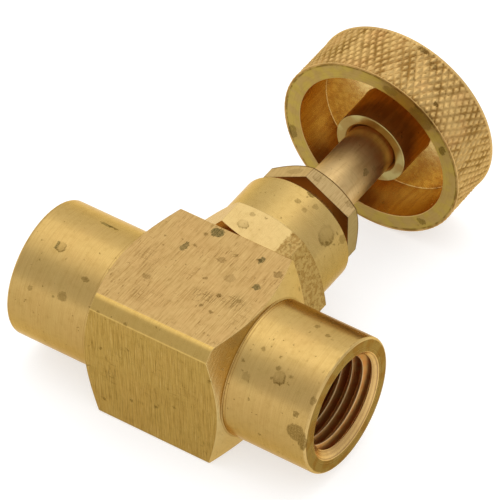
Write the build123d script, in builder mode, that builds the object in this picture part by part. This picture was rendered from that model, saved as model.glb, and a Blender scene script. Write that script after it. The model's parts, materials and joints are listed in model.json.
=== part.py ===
from build123d import *
import os
from math import atan, cos, degrees, pi, radians, sin, tan

os.makedirs("parts", exist_ok=True)

# Frame, in millimetres: X is the flow axis, +Y runs up the stem to the handwheel, Z is vertical
# while the valve lies on its side. The origin is the middle of the body's flat base face.

# Valve body: a length of square bar turned down to a round hub at each port
FLOW_Y = 9.4                 # flow axis above the base face
BODY_BACK_Y = 18.7           # face that carries the bonnet
BODY_HALF_Z = 9.3            # half the bar's height
HUB_R = 8.75
HUB_END_X = 21.45
SHOULDER_X = 9.78            # turned shoulder meets the hub here
SHOULDER_SLOPE = 0.4255      # axial run of the shoulder cone per unit of radius
BARREL_R = 14.0
FRONT_EDGE_CHAMFER = 1.3
FRONT_EDGE_UPPER_R = 1.4      # rounding where the front chamfer meets the upper flat
FRONT_EDGE_LOWER_R = 0.5
HUB_EDGE_FILLET = 0.4
EDGE_BREAK = 0.25

# Ports: 1/4-18 NPT internal thread on a 1:16 taper, with the tap drill's wall behind it
PORT_MOUTH_R = 6.95
PORT_CHAMFER_DEPTH = 0.95
THREAD_PITCH = 25.4 / 18
THREAD_TAPER = 1 / 32        # change of radius per unit of length
THREAD_CREST_R = 5.86        # crest radius at the port face
THREAD_DEPTH = 1.0
TAPER_INNER_X = 11.3         # tapered stretch ends here
THREAD_START_X = 11.0
THREAD_END_X = 20.9
GROOVE_ROOT_FLAT = 0.06
GROOVE_OVERCUT = 0.08
TAP_DRILL_R = 5.5
PORT_FLOOR_X = 8.0

# Passages and seat inside the body
BONNET_PORT_R = 6.0
BONNET_PORT_FLOOR_Y = 11.6
CHAMBER_R = 4.1
SEAT_Y = 8.4
ORIFICE_R = 1.6
ORIFICE_FLOOR_Y = 4.2
SEAT_CHAMFER = 0.12
PASSAGE_R = 1.4
INLET_PASSAGE_Y = 5.8
OUTLET_PASSAGE_Y = 10.0

# Bonnet: hexagon bar with a turned, round upper length
HEX_AF = 16.3
HEX_LOW_Y = 19.2
HEX_LOW_CONE_R = 8.0         # lower chamfer cone leaves the underside here
HEX_LOW_CONE_Y = 19.8        # and meets the corners here
HEX_CORNER_DEG = 108.5       # direction of one corner, from +X towards +Z
CHAMFER_DEG = 30.0
BONNET_R = 7.8
BONNET_CONE_Y = 24.4         # hexagon's chamfer cone reaches the round length here
BONNET_TOP_Y = 30.8
SHANK_R = 5.9
SHANK_LOW_Y = 12.0
STUFFING_R = 5.0
STUFFING_FLOOR_Y = 20.8
BONNET_BORE_R = 3.8

# Gland: nut, follower, three packing rings and the washer below them
NUT_AF = 12.25
NUT_LOW_Y = 32.9
NUT_TOP_Y = 35.25
NUT_CORNER_DEG = 28.0
NUT_SHANK_R = 4.9
NUT_SHANK_LOW_Y = 27.4
NUT_BORE_R = 3.35
FOLLOWER_LOW_Y = 25.4
FOLLOWER_R = 4.9
PACKING_LOW_Y = 21.8
PACKING_THICKNESS = 1.2
PACKING_R = 4.95
PACKING_BORE_R = 3.3
GLAND_BORE_R = 3.35

# Spindle
STEM_R = 3.25
STEM_THREAD_R = 3.75
STEM_THREAD_LOW_Y = 14.0
STEM_THREAD_TOP_Y = 18.9
STEM_NOSE_R = 3.2
STEM_NOSE_Y = 13.6
STEM_SHOULDER_Y = 48.4
STEM_SQUARE = 4.5
STEM_SQUARE_TOP_Y = 51.8
STEM_TAP_R = 1.5
STEM_TAP_FLOOR_Y = 44.4
SOCKET_R = 1.36
SOCKET_TOP_Y = 16.8
SOCKET_GROOVE_R = 1.75
RING_LOW_Y = 14.8
RING_THICKNESS = 0.4
RING_SIDE_GAP = 0.05

# Needle: a loose cone that swivels in the stem's socket
NEEDLE_R = 2.0
NEEDLE_BASE_Y = 12.02        # where the cone starts
NEEDLE_HALF_DEG = 22.5
NEEDLE_TIP_R = 0.2
NEEDLE_SHOULDER_Y = 13.55
NEEDLE_PIN_R = 1.3
NEEDLE_PIN_TOP_Y = 16.6
NEEDLE_GROOVE_R = 0.94
RING_IN_R = 1.0
RING_OUT_R = 1.65
RING_SLOT = 1.1

# Handwheel
WHEEL_R = 12.83
WHEEL_LOW_Y = 47.35
WHEEL_TOP_Y = 55.1
WHEEL_CHAMFER = 0.25
RECESS_R = 10.48
RECESS_FLOOR_Y = 53.2
WHEEL_HUB_R = 4.95
WHEEL_HUB_Y = 47.25
WHEEL_BORE_R = 3.3
WHEEL_BORE_CHAMFER = 0.38
SQUARE_HOLE = 4.56
SQUARE_HOLE_TOP_Y = 52.0
SCREW_HOLE_R = 1.7
COUNTERBORE_R = 3.1
COUNTERBORE_Y = 52.5

# Handwheel screw and lock washer
WASHER_THICKNESS = 0.4
WASHER_R = 2.9
WASHER_BORE_R = 1.6
SCREW_HEAD_R = 2.75
SCREW_HEAD_TOP_Y = 54.4
SCREW_R = 1.45
SCREW_END_Y = 45.4
SCREW_SLOT_WIDTH = 0.8
SCREW_SLOT_DEPTH = 0.75

STEM_AXIS = Axis((0, 0, 0), (0, 1, 0))
FLOW_AXIS = Axis((0, FLOW_Y, 0), (1, 0, 0))


def along_stem(y):
    """Plane square to the stem at height y, with its x along X and its normal along +Y."""
    return Plane(origin=(0, y, 0), x_dir=(1, 0, 0), z_dir=(0, 1, 0))


def ring_part(outer_r, inner_r, low_y, thickness):
    """Plain round ring on the stem axis."""
    with BuildPart() as ring:
        with BuildSketch(along_stem(low_y)):
            Circle(outer_r)
            Circle(inner_r, mode=Mode.SUBTRACT)
        extrude(amount=thickness)
    return ring.part


def hexagon_points(across_flats, corner_deg):
    """Corners of a hexagon in the along_stem plane, whose y axis points to -Z."""
    corner_r = across_flats / 2 / cos(pi / 6)
    angles = [corner_deg + 60 * k for k in range(6)]
    return [(corner_r * cos(radians(a)), -corner_r * sin(radians(a))) for a in angles]


def save(builder, name):
    """Label a finished piece and write its STEP file."""
    builder.part.label = name
    export_step(builder.part, f"parts/{name}.step")


def npt_groove(side):
    """Helical V-groove that cuts the thread of the port on the given side of X."""
    crest_r = THREAD_CREST_R - (HUB_END_X - THREAD_START_X) * THREAD_TAPER
    half_root = GROOVE_ROOT_FLAT / 2
    half_mouth = half_root + (THREAD_DEPTH + GROOVE_OVERCUT) * tan(radians(30))
    with BuildPart() as groove:
        with BuildLine():
            path = Helix(
                pitch=THREAD_PITCH,
                height=THREAD_END_X - THREAD_START_X,
                radius=crest_r,
                center=(side * THREAD_START_X, FLOW_Y, 0),
                direction=(side, 0, 0),
                cone_angle=degrees(atan(THREAD_TAPER)),
            )
        start = path @ 0
        outward = (start - Vector(side * THREAD_START_X, FLOW_Y, 0)).normalized()
        with BuildSketch(Plane(origin=start, x_dir=(side, 0, 0), z_dir=outward.cross(Vector(side, 0, 0)))):
            with BuildLine():
                Polyline(
                    (-half_mouth, GROOVE_OVERCUT),
                    (half_mouth, GROOVE_OVERCUT),
                    (half_root, -THREAD_DEPTH),
                    (-half_root, -THREAD_DEPTH),
                    close=True,
                )
            make_face()
        sweep(path=path, is_frenet=True)
    return groove.part


# Body
with BuildPart() as valve_body:
    with BuildSketch(Plane(origin=(0, BODY_BACK_Y / 2, 0), z_dir=(1, 0, 0), x_dir=(0, 1, 0))):
        Rectangle(BODY_BACK_Y, 2 * BODY_HALF_Z)
    extrude(amount=HUB_END_X, both=True)
    long_edges = valve_body.edges().filter_by(Axis.X)
    front_top = long_edges.sort_by(Axis.Z)[-2:].sort_by(Axis.Y)[0]
    other_edges = [e for e in long_edges if e is not front_top]
    chamfer(front_top, length=FRONT_EDGE_CHAMFER)
    chamfer(
        valve_body.edges().filter_by(Axis.X).filter_by(
            lambda e: min((e.center() - o.center()).length for o in other_edges) < EDGE_BREAK
        ),
        length=EDGE_BREAK,
    )
    fillet(
        valve_body.edges().filter_by(Axis.X).filter_by(
            lambda e: abs(e.center().Y - FRONT_EDGE_CHAMFER) + abs(e.center().Z - BODY_HALF_Z) < EDGE_BREAK
        ),
        radius=FRONT_EDGE_UPPER_R,
    )
    fillet(
        valve_body.edges().filter_by(Axis.X).filter_by(
            lambda e: abs(e.center().Y) + abs(e.center().Z - BODY_HALF_Z + FRONT_EDGE_CHAMFER) < EDGE_BREAK
        ),
        radius=FRONT_EDGE_LOWER_R,
    )
    # shoulders turned at both ends of the bar
    with BuildSketch(Plane.XY):
        with BuildLine():
            Polyline(
                (-SHOULDER_X, FLOW_Y),
                (-SHOULDER_X, FLOW_Y + HUB_R),
                (-SHOULDER_X + (BARREL_R - HUB_R) * SHOULDER_SLOPE, FLOW_Y + BARREL_R),
                (SHOULDER_X - (BARREL_R - HUB_R) * SHOULDER_SLOPE, FLOW_Y + BARREL_R),
                (SHOULDER_X, FLOW_Y + HUB_R),
                (SHOULDER_X, FLOW_Y),
                close=True,
            )
        make_face()
    revolve(axis=FLOW_AXIS, mode=Mode.INTERSECT)
    # round hubs
    with BuildSketch(Plane(origin=(0, FLOW_Y, 0), z_dir=(1, 0, 0), x_dir=(0, 1, 0))):
        Circle(HUB_R)
    extrude(amount=HUB_END_X, both=True)
    fillet(
        valve_body.edges().filter_by(GeomType.CIRCLE).filter_by(
            lambda e: abs(abs(e.center().X) - HUB_END_X) < EDGE_BREAK
        ),
        radius=HUB_EDGE_FILLET,
    )
    # port bores: mouth chamfer, tapered stretch for the thread, tap drill
    for side in (-1, 1):
        chamfer_x = HUB_END_X - PORT_CHAMFER_DEPTH
        with BuildSketch(Plane.XY):
            with BuildLine():
                Polyline(
                    (side * PORT_FLOOR_X, FLOW_Y),
                    (side * PORT_FLOOR_X, FLOW_Y + TAP_DRILL_R),
                    (side * TAPER_INNER_X, FLOW_Y + TAP_DRILL_R),
                    (side * chamfer_x, FLOW_Y + THREAD_CREST_R - PORT_CHAMFER_DEPTH * THREAD_TAPER),
                    (side * HUB_END_X, FLOW_Y + PORT_MOUTH_R),
                    (side * HUB_END_X, FLOW_Y),
                    close=True,
                )
            make_face()
        revolve(axis=FLOW_AXIS, mode=Mode.SUBTRACT)
    # bonnet port, chamber, seat and orifice
    with BuildSketch(Plane.XY):
        with BuildLine():
            Polyline(
                (0, BODY_BACK_Y),
                (BONNET_PORT_R, BODY_BACK_Y),
                (BONNET_PORT_R, BONNET_PORT_FLOOR_Y),
                (CHAMBER_R, BONNET_PORT_FLOOR_Y),
                (CHAMBER_R, SEAT_Y),
                (ORIFICE_R + SEAT_CHAMFER, SEAT_Y),
                (ORIFICE_R, SEAT_Y - SEAT_CHAMFER),
                (ORIFICE_R, ORIFICE_FLOOR_Y),
                (0, ORIFICE_FLOOR_Y),
                close=True,
            )
        make_face()
    revolve(axis=STEM_AXIS, mode=Mode.SUBTRACT)
    # side passages
    with BuildSketch(Plane(origin=(0, INLET_PASSAGE_Y, 0), z_dir=(-1, 0, 0), x_dir=(0, 1, 0))):
        Circle(PASSAGE_R)
    extrude(amount=PORT_FLOOR_X + EDGE_BREAK, mode=Mode.SUBTRACT)
    with BuildSketch(Plane(origin=(0, OUTLET_PASSAGE_Y, 0), z_dir=(1, 0, 0), x_dir=(0, 1, 0))):
        Circle(PASSAGE_R)
    extrude(amount=PORT_FLOOR_X + EDGE_BREAK, mode=Mode.SUBTRACT)
    add(npt_groove(1), mode=Mode.SUBTRACT)
    add(npt_groove(-1), mode=Mode.SUBTRACT)
save(valve_body, "valve_body")


# Bonnet and its sealing ring
with BuildPart() as bonnet:
    with BuildSketch(along_stem(HEX_LOW_Y)):
        Polygon(*hexagon_points(HEX_AF, HEX_CORNER_DEG), align=None)
    extrude(amount=BONNET_TOP_Y - HEX_LOW_Y)
    # turned profile: chamfer cones under and over the hexagon, then the round length
    corner_r = HEX_AF / 2 / cos(pi / 6)
    cone_low_y = BONNET_CONE_Y - (corner_r - BONNET_R) * tan(radians(CHAMFER_DEG))
    with BuildSketch(Plane.XY):
        with BuildLine():
            Polyline(
                (0, HEX_LOW_Y),
                (HEX_LOW_CONE_R, HEX_LOW_Y),
                (corner_r, HEX_LOW_CONE_Y),
                (corner_r, cone_low_y),
                (BONNET_R, BONNET_CONE_Y),
                (BONNET_R, BONNET_TOP_Y - EDGE_BREAK),
                (BONNET_R - EDGE_BREAK, BONNET_TOP_Y),
                (0, BONNET_TOP_Y),
                close=True,
            )
        make_face()
    revolve(axis=STEM_AXIS, mode=Mode.INTERSECT)
    with BuildSketch(along_stem(SHANK_LOW_Y)):
        Circle(SHANK_R)
    extrude(amount=HEX_LOW_Y - SHANK_LOW_Y)
    with BuildSketch(along_stem(SHANK_LOW_Y)):
        Circle(BONNET_BORE_R)
    extrude(amount=STUFFING_FLOOR_Y - SHANK_LOW_Y, mode=Mode.SUBTRACT)
    with BuildSketch(along_stem(STUFFING_FLOOR_Y)):
        Circle(STUFFING_R)
    extrude(amount=BONNET_TOP_Y - STUFFING_FLOOR_Y, mode=Mode.SUBTRACT)
save(bonnet, "bonnet")

GASKET_BORE_R = SHANK_R + 0.12
GASKET_R = 7.1
with BuildPart() as bonnet_gasket:
    add(ring_part(GASKET_R, GASKET_BORE_R, BODY_BACK_Y, HEX_LOW_Y - BODY_BACK_Y))
save(bonnet_gasket, "bonnet_gasket")


# Gland nut: thin chamfered hexagon on a round threaded shank
with BuildPart() as gland_nut:
    nut_corner_r = NUT_AF / 2 / cos(pi / 6)
    nut_cone_drop = (nut_corner_r - NUT_AF / 2) * tan(radians(CHAMFER_DEG))
    with BuildSketch(along_stem(NUT_LOW_Y)):
        Polygon(*hexagon_points(NUT_AF, NUT_CORNER_DEG), align=None)
    extrude(amount=NUT_TOP_Y - NUT_LOW_Y)
    with BuildSketch(Plane.XY):
        with BuildLine():
            Polyline(
                (0, NUT_LOW_Y),
                (nut_corner_r, NUT_LOW_Y),
                (nut_corner_r, NUT_TOP_Y - nut_cone_drop),
                (NUT_AF / 2, NUT_TOP_Y),
                (0, NUT_TOP_Y),
                close=True,
            )
        make_face()
    revolve(axis=STEM_AXIS, mode=Mode.INTERSECT)
    with BuildSketch(along_stem(NUT_SHANK_LOW_Y)):
        Circle(NUT_SHANK_R)
    extrude(amount=NUT_LOW_Y - NUT_SHANK_LOW_Y)
    with BuildSketch(along_stem(NUT_SHANK_LOW_Y)):
        Circle(NUT_BORE_R)
    extrude(amount=NUT_TOP_Y - NUT_SHANK_LOW_Y, mode=Mode.SUBTRACT)
save(gland_nut, "gland_nut")

with BuildPart() as gland_follower:
    add(ring_part(FOLLOWER_R, GLAND_BORE_R, FOLLOWER_LOW_Y, NUT_SHANK_LOW_Y - FOLLOWER_LOW_Y))
save(gland_follower, "gland_follower")

with BuildPart() as packing_ring_lower:
    add(ring_part(PACKING_R, PACKING_BORE_R, PACKING_LOW_Y, PACKING_THICKNESS))
save(packing_ring_lower, "packing_ring_lower")

with BuildPart() as packing_ring_middle:
    add(ring_part(PACKING_R, PACKING_BORE_R, PACKING_LOW_Y + PACKING_THICKNESS, PACKING_THICKNESS))
save(packing_ring_middle, "packing_ring_middle")

with BuildPart() as packing_ring_upper:
    add(ring_part(PACKING_R, PACKING_BORE_R, PACKING_LOW_Y + 2 * PACKING_THICKNESS, PACKING_THICKNESS))
save(packing_ring_upper, "packing_ring_upper")

with BuildPart() as packing_washer:
    add(ring_part(FOLLOWER_R, GLAND_BORE_R, STUFFING_FLOOR_Y, PACKING_LOW_Y - STUFFING_FLOOR_Y))
save(packing_washer, "packing_washer")


# Stem
with BuildPart() as stem:
    nose_chamfer_y = STEM_THREAD_LOW_Y + STEM_THREAD_R - STEM_NOSE_R
    with BuildSketch(Plane.XY):
        with BuildLine():
            Polyline(
                (0, STEM_NOSE_Y),
                (STEM_NOSE_R, STEM_NOSE_Y),
                (STEM_NOSE_R, STEM_THREAD_LOW_Y),
                (STEM_THREAD_R, nose_chamfer_y),
                (STEM_THREAD_R, STEM_THREAD_TOP_Y),
                (STEM_R, STEM_THREAD_TOP_Y),
                (STEM_R, STEM_SHOULDER_Y),
                (0, STEM_SHOULDER_Y),
                close=True,
            )
        make_face()
    revolve(axis=STEM_AXIS)
    with BuildSketch(along_stem(STEM_SHOULDER_Y)):
        Rectangle(STEM_SQUARE, STEM_SQUARE)
    extrude(amount=STEM_SQUARE_TOP_Y - STEM_SHOULDER_Y)
    with BuildSketch(along_stem(STEM_TAP_FLOOR_Y)):
        Circle(STEM_TAP_R)
    extrude(amount=STEM_SQUARE_TOP_Y - STEM_TAP_FLOOR_Y, mode=Mode.SUBTRACT)
    with BuildSketch(along_stem(STEM_NOSE_Y)):
        Circle(SOCKET_R)
    extrude(amount=SOCKET_TOP_Y - STEM_NOSE_Y, mode=Mode.SUBTRACT)
    with BuildSketch(along_stem(RING_LOW_Y - RING_SIDE_GAP)):
        Circle(SOCKET_GROOVE_R)
    extrude(amount=RING_THICKNESS + 2 * RING_SIDE_GAP, mode=Mode.SUBTRACT)
save(stem, "stem")


# Needle: cone, shank and grooved pin turned in one piece
with BuildPart() as needle_tip:
    cone_length = (NEEDLE_R - NEEDLE_TIP_R) / tan(radians(NEEDLE_HALF_DEG))
    with BuildSketch(Plane.XY):
        with BuildLine():
            Polyline(
                (0, NEEDLE_BASE_Y - cone_length),
                (NEEDLE_TIP_R, NEEDLE_BASE_Y - cone_length),
                (NEEDLE_R, NEEDLE_BASE_Y),
                (NEEDLE_R, NEEDLE_SHOULDER_Y),
                (NEEDLE_PIN_R, NEEDLE_SHOULDER_Y),
                (NEEDLE_PIN_R, RING_LOW_Y - RING_SIDE_GAP),
                (NEEDLE_GROOVE_R, RING_LOW_Y - RING_SIDE_GAP),
                (NEEDLE_GROOVE_R, RING_LOW_Y + RING_THICKNESS + RING_SIDE_GAP),
                (NEEDLE_PIN_R, RING_LOW_Y + RING_THICKNESS + RING_SIDE_GAP),
                (NEEDLE_PIN_R, NEEDLE_PIN_TOP_Y),
                (0, NEEDLE_PIN_TOP_Y),
                close=True,
            )
        make_face()
    revolve(axis=STEM_AXIS)
save(needle_tip, "needle_tip")

with BuildPart() as tip_retaining_ring:
    add(ring_part(RING_OUT_R, RING_IN_R, RING_LOW_Y, RING_THICKNESS))
    with BuildSketch(along_stem(RING_LOW_Y)):
        with Locations((RING_OUT_R, 0)):
            Rectangle(2 * RING_OUT_R, RING_SLOT)
    extrude(amount=RING_THICKNESS, mode=Mode.SUBTRACT)
save(tip_retaining_ring, "tip_retaining_ring")


# Handwheel: cup-shaped disc with a central hub on its underside
with BuildPart() as handwheel:
    with BuildSketch(Plane.XY):
        with BuildLine():
            Polyline(
                (0, WHEEL_HUB_Y),
                (WHEEL_HUB_R, WHEEL_HUB_Y),
                (WHEEL_HUB_R, RECESS_FLOOR_Y),
                (RECESS_R, RECESS_FLOOR_Y),
                (RECESS_R, WHEEL_LOW_Y),
                (WHEEL_R - WHEEL_CHAMFER, WHEEL_LOW_Y),
                (WHEEL_R, WHEEL_LOW_Y + WHEEL_CHAMFER),
                (WHEEL_R, WHEEL_TOP_Y - WHEEL_CHAMFER),
                (WHEEL_R - WHEEL_CHAMFER, WHEEL_TOP_Y),
                (0, WHEEL_TOP_Y),
                close=True,
            )
        make_face()
    revolve(axis=STEM_AXIS)
    fillet(
        handwheel.edges().filter_by(GeomType.CIRCLE).filter_by(
            lambda e: abs(e.center().Y - RECESS_FLOOR_Y) < EDGE_BREAK
        ),
        radius=EDGE_BREAK,
    )
    with BuildSketch(Plane.XY):
        with BuildLine():
            Polyline(
                (0, WHEEL_HUB_Y),
                (WHEEL_BORE_R + WHEEL_BORE_CHAMFER, WHEEL_HUB_Y),
                (WHEEL_BORE_R, WHEEL_HUB_Y + WHEEL_BORE_CHAMFER),
                (WHEEL_BORE_R, STEM_SHOULDER_Y),
                (0, STEM_SHOULDER_Y),
                close=True,
            )
        make_face()
    revolve(axis=STEM_AXIS, mode=Mode.SUBTRACT)
    with BuildSketch(along_stem(STEM_SHOULDER_Y)):
        Rectangle(SQUARE_HOLE, SQUARE_HOLE)
    extrude(amount=SQUARE_HOLE_TOP_Y - STEM_SHOULDER_Y, mode=Mode.SUBTRACT)
    with BuildSketch(along_stem(SQUARE_HOLE_TOP_Y)):
        Circle(SCREW_HOLE_R)
    extrude(amount=COUNTERBORE_Y - SQUARE_HOLE_TOP_Y, mode=Mode.SUBTRACT)
    with BuildSketch(along_stem(COUNTERBORE_Y)):
        Circle(COUNTERBORE_R)
    extrude(amount=WHEEL_TOP_Y - COUNTERBORE_Y, mode=Mode.SUBTRACT)
save(handwheel, "handwheel")

with BuildPart() as lock_washer:
    add(ring_part(WASHER_R, WASHER_BORE_R, COUNTERBORE_Y, WASHER_THICKNESS))
save(lock_washer, "lock_washer")

with BuildPart() as handwheel_screw:
    head_low_y = COUNTERBORE_Y + WASHER_THICKNESS
    with BuildSketch(along_stem(head_low_y)):
        Circle(SCREW_HEAD_R)
    extrude(amount=SCREW_HEAD_TOP_Y - head_low_y)
    with BuildSketch(along_stem(SCREW_END_Y)):
        Circle(SCREW_R)
    extrude(amount=head_low_y - SCREW_END_Y)
    with BuildSketch(along_stem(SCREW_HEAD_TOP_Y - SCREW_SLOT_DEPTH)):
        Rectangle(3 * SCREW_HEAD_R, SCREW_SLOT_WIDTH)
    extrude(amount=SCREW_SLOT_DEPTH, mode=Mode.SUBTRACT)
save(handwheel_screw, "handwheel_screw")
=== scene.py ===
import json
from math import cos, pi, radians, sin, tan

import bmesh
import bpy
from mathutils import Matrix, Vector


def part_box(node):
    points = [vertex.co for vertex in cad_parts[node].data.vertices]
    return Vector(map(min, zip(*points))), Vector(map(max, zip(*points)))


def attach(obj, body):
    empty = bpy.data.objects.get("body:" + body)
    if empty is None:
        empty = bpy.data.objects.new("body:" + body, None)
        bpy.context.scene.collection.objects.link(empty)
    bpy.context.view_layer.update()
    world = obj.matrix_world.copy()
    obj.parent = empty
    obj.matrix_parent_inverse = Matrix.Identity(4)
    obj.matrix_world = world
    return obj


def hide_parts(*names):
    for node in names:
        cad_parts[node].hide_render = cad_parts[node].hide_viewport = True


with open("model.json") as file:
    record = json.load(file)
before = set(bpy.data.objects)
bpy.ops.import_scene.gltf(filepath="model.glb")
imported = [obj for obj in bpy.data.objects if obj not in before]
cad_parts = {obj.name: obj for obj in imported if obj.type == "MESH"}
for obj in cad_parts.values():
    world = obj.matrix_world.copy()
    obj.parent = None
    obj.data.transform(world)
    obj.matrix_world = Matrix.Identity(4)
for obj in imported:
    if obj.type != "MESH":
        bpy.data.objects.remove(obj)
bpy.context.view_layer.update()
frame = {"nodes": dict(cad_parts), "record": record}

MM = 0.001
scene = bpy.context.scene
NODES = frame["nodes"]

# Places read from the frame, in metres
BODY_LOW, BODY_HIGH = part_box("valve_body")
WHEEL_LOW, WHEEL_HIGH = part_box("handwheel")
FLOW_Y = next(m["pos_m"][1] for m in frame["record"]["mounts"] if m["name"] == "port_outlet")
WHEEL_R = WHEEL_HIGH.z
RIM_Y = WHEEL_LOW.y + 0.1 * MM      # the hub stands this far proud of the rim

# Places that the materials look for, in millimetres
BODY_AXIS_Y = FLOW_Y / MM
TOP_Z = BODY_HIGH.z / MM
PORT_X = BODY_HIGH.x / MM           # the port faces
SQUARE_X = 9.8                      # the square part of the body ends here and a hub starts
HUB_R = 8.75
MOUTH_R = 7.0                       # outer edge of the port's chamfer
THREAD_X = 20.5                     # the chamfer ends and the thread starts
THREAD_AXIS_R = 5.19                # crest radius, if the taper ran on to the middle of the body
THREAD_TAPER = 1 / 32
BAND_Y, BAND_Z = 2.2, 7.7           # the front chamfer lies in front of and above these
HEX_END_Y = 24.4                    # the bonnet's hexagon ends and its round part starts
HEX_FLAT = radians(11.5)            # the upper flat faces this far from +Z towards +X
FLAT_END = 2.8                      # its mottled end starts here, from the flat's middle
BONNET_R = 7.8
BONNET_TOP_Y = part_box("bonnet")[1].y / MM
NUT_HALF_WIDTH = 6.125
NUT_TOP_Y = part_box("gland_nut")[1].y / MM
NUT_CHAMFER = radians(30)
STEM_R = 3.25
STAIN_FROM_Y, STAIN_TO_Y = 44.0, 48.0

# Handwheel profile, in millimetres
WHEEL_RECESS_R = 10.48
WHEEL_RECESS_DEPTH = 5.85
WHEEL_HUB_R = 4.95
WHEEL_BORE_R = 3.3
WHEEL_BORE_DEPTH = 1.15
WHEEL_BORE_CHAMFER = 0.38
SQUARE_HOLE = 4.56
SQUARE_HOLE_TOP_Y = 52.0
SCREW_HOLE_R = 1.7
COUNTERBORE_R = 3.1
COUNTERBORE_Y = 52.5
EDGE_R = 0.12

# Knurl on the handwheel's rim
KNURL_COUNT = 80
KNURL_DEPTH = 0.26                  # millimetres
KNURL_BURR = 0.045                  # random roughness of the pips
KNURL_EDGE = 0.06                   # chamfer at both ends of the knurl
KNURL_LAND = 0.12                   # plain band left at the knurl's far end
KNURL_FADE = 0.25                   # the grooves run out over this length at both ends
KNURL_LEAN = radians(30)            # groove direction, away from the stem's axis
KNURL_STEPS = 10                    # mesh steps per groove
KNURL_FLOOR_R = 12.5                # everything outside this radius is knurled

# Camera: the direction it looks from, and its roll
CAMERA_AZIMUTH = radians(35.8)
CAMERA_ELEVATION = radians(45.0)
CAMERA_ROLL = radians(2.35)
CAMERA_DISTANCE = 0.607
CAMERA_LENS = 368.5
CAMERA_RIGHT, CAMERA_UP = 6.46 * MM, 10.11 * MM     # the picture's middle, from the crossing of the axes
FLOOR_GAP = 0.02 * MM               # the floor card stays this far below the valve

# Studio surround: level, then patches as direction, inner and outer angle, change of level
SURROUND_LEVEL = 1.08
SURROUND = (
    ((-0.1, 0.42, 0.9), 14, 46, 0.22),
    ((-0.42, -0.05, 0.9), 4, 24, 0.26),
    ((-0.4, -0.72, 0.55), 4, 32, -0.25),
    ((0.8, 0.55, 0.2), 12, 42, -0.20),
    ((-0.4, -0.9, 0.02), 5, 20, 0.30),
)


# ---------------------------------------------------------------- mesh helpers

def new_object(name, bm):
    """Turn a bmesh into a linked object with clean, outward normals."""
    bmesh.ops.recalc_face_normals(bm, faces=bm.faces)
    mesh = bpy.data.meshes.new(name)
    bm.to_mesh(mesh)
    bm.free()
    piece = bpy.data.objects.new(name, mesh)
    scene.collection.objects.link(piece)
    return piece


def smooth(piece, angle=30):
    """Smooth shading, with edges sharper than the angle kept crisp."""
    for polygon in piece.data.polygons:
        polygon.use_smooth = True
    piece.data.set_sharp_from_angle(angle=radians(angle))


def rounded(points, radius, steps=3):
    """Profile with each inner corner replaced by a small arc."""
    made = [Vector(points[0])]
    for before, corner, after in zip(points, points[1:], points[2:]):
        before, corner, after = Vector(before), Vector(corner), Vector(after)
        a, b = before - corner, after - corner
        turn = a.angle(b)
        cut = min(radius / tan(turn / 2), 0.45 * a.length, 0.45 * b.length)
        start, end = corner + a.normalized() * cut, corner + b.normalized() * cut
        r = cut * tan(turn / 2)
        centre = corner + (a.normalized() + b.normalized()).normalized() * (r / sin(turn / 2))
        for k in range(steps + 1):
            p = start.lerp(end, k / steps) - centre
            made.append(centre + p.normalized() * r)
    made.append(Vector(points[-1]))
    return made


def spaced(low, high, count):
    return [low + (high - low) * k / count for k in range(count + 1)]


# ---------------------------------------------------------------- handwheel

def knurl_depth(theta, y):
    """Depth of the diamond knurl at a place on the rim: two crossing sets of uneven grooves."""
    radius = WHEEL_R / MM
    pitch = 2 * pi * radius / KNURL_COUNT
    deepest = 0
    for side, share in ((-1, 0.85), (1, 1.0)):
        turn = (radius * theta + side * y * tan(KNURL_LEAN)) / pitch
        turn += 0.03 * sin(5 * theta + 1.7 * y) + 0.02 * sin(17 * theta - 2.3 * y)
        groove = max(0, 1 - abs(turn % 1 - 0.5) / 0.48)
        uneven = 0.88 + 0.12 * sin(2 * pi * 13 * (turn // 1) / KNURL_COUNT)
        deepest = max(deepest, share * uneven * groove)
    return deepest


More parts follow.
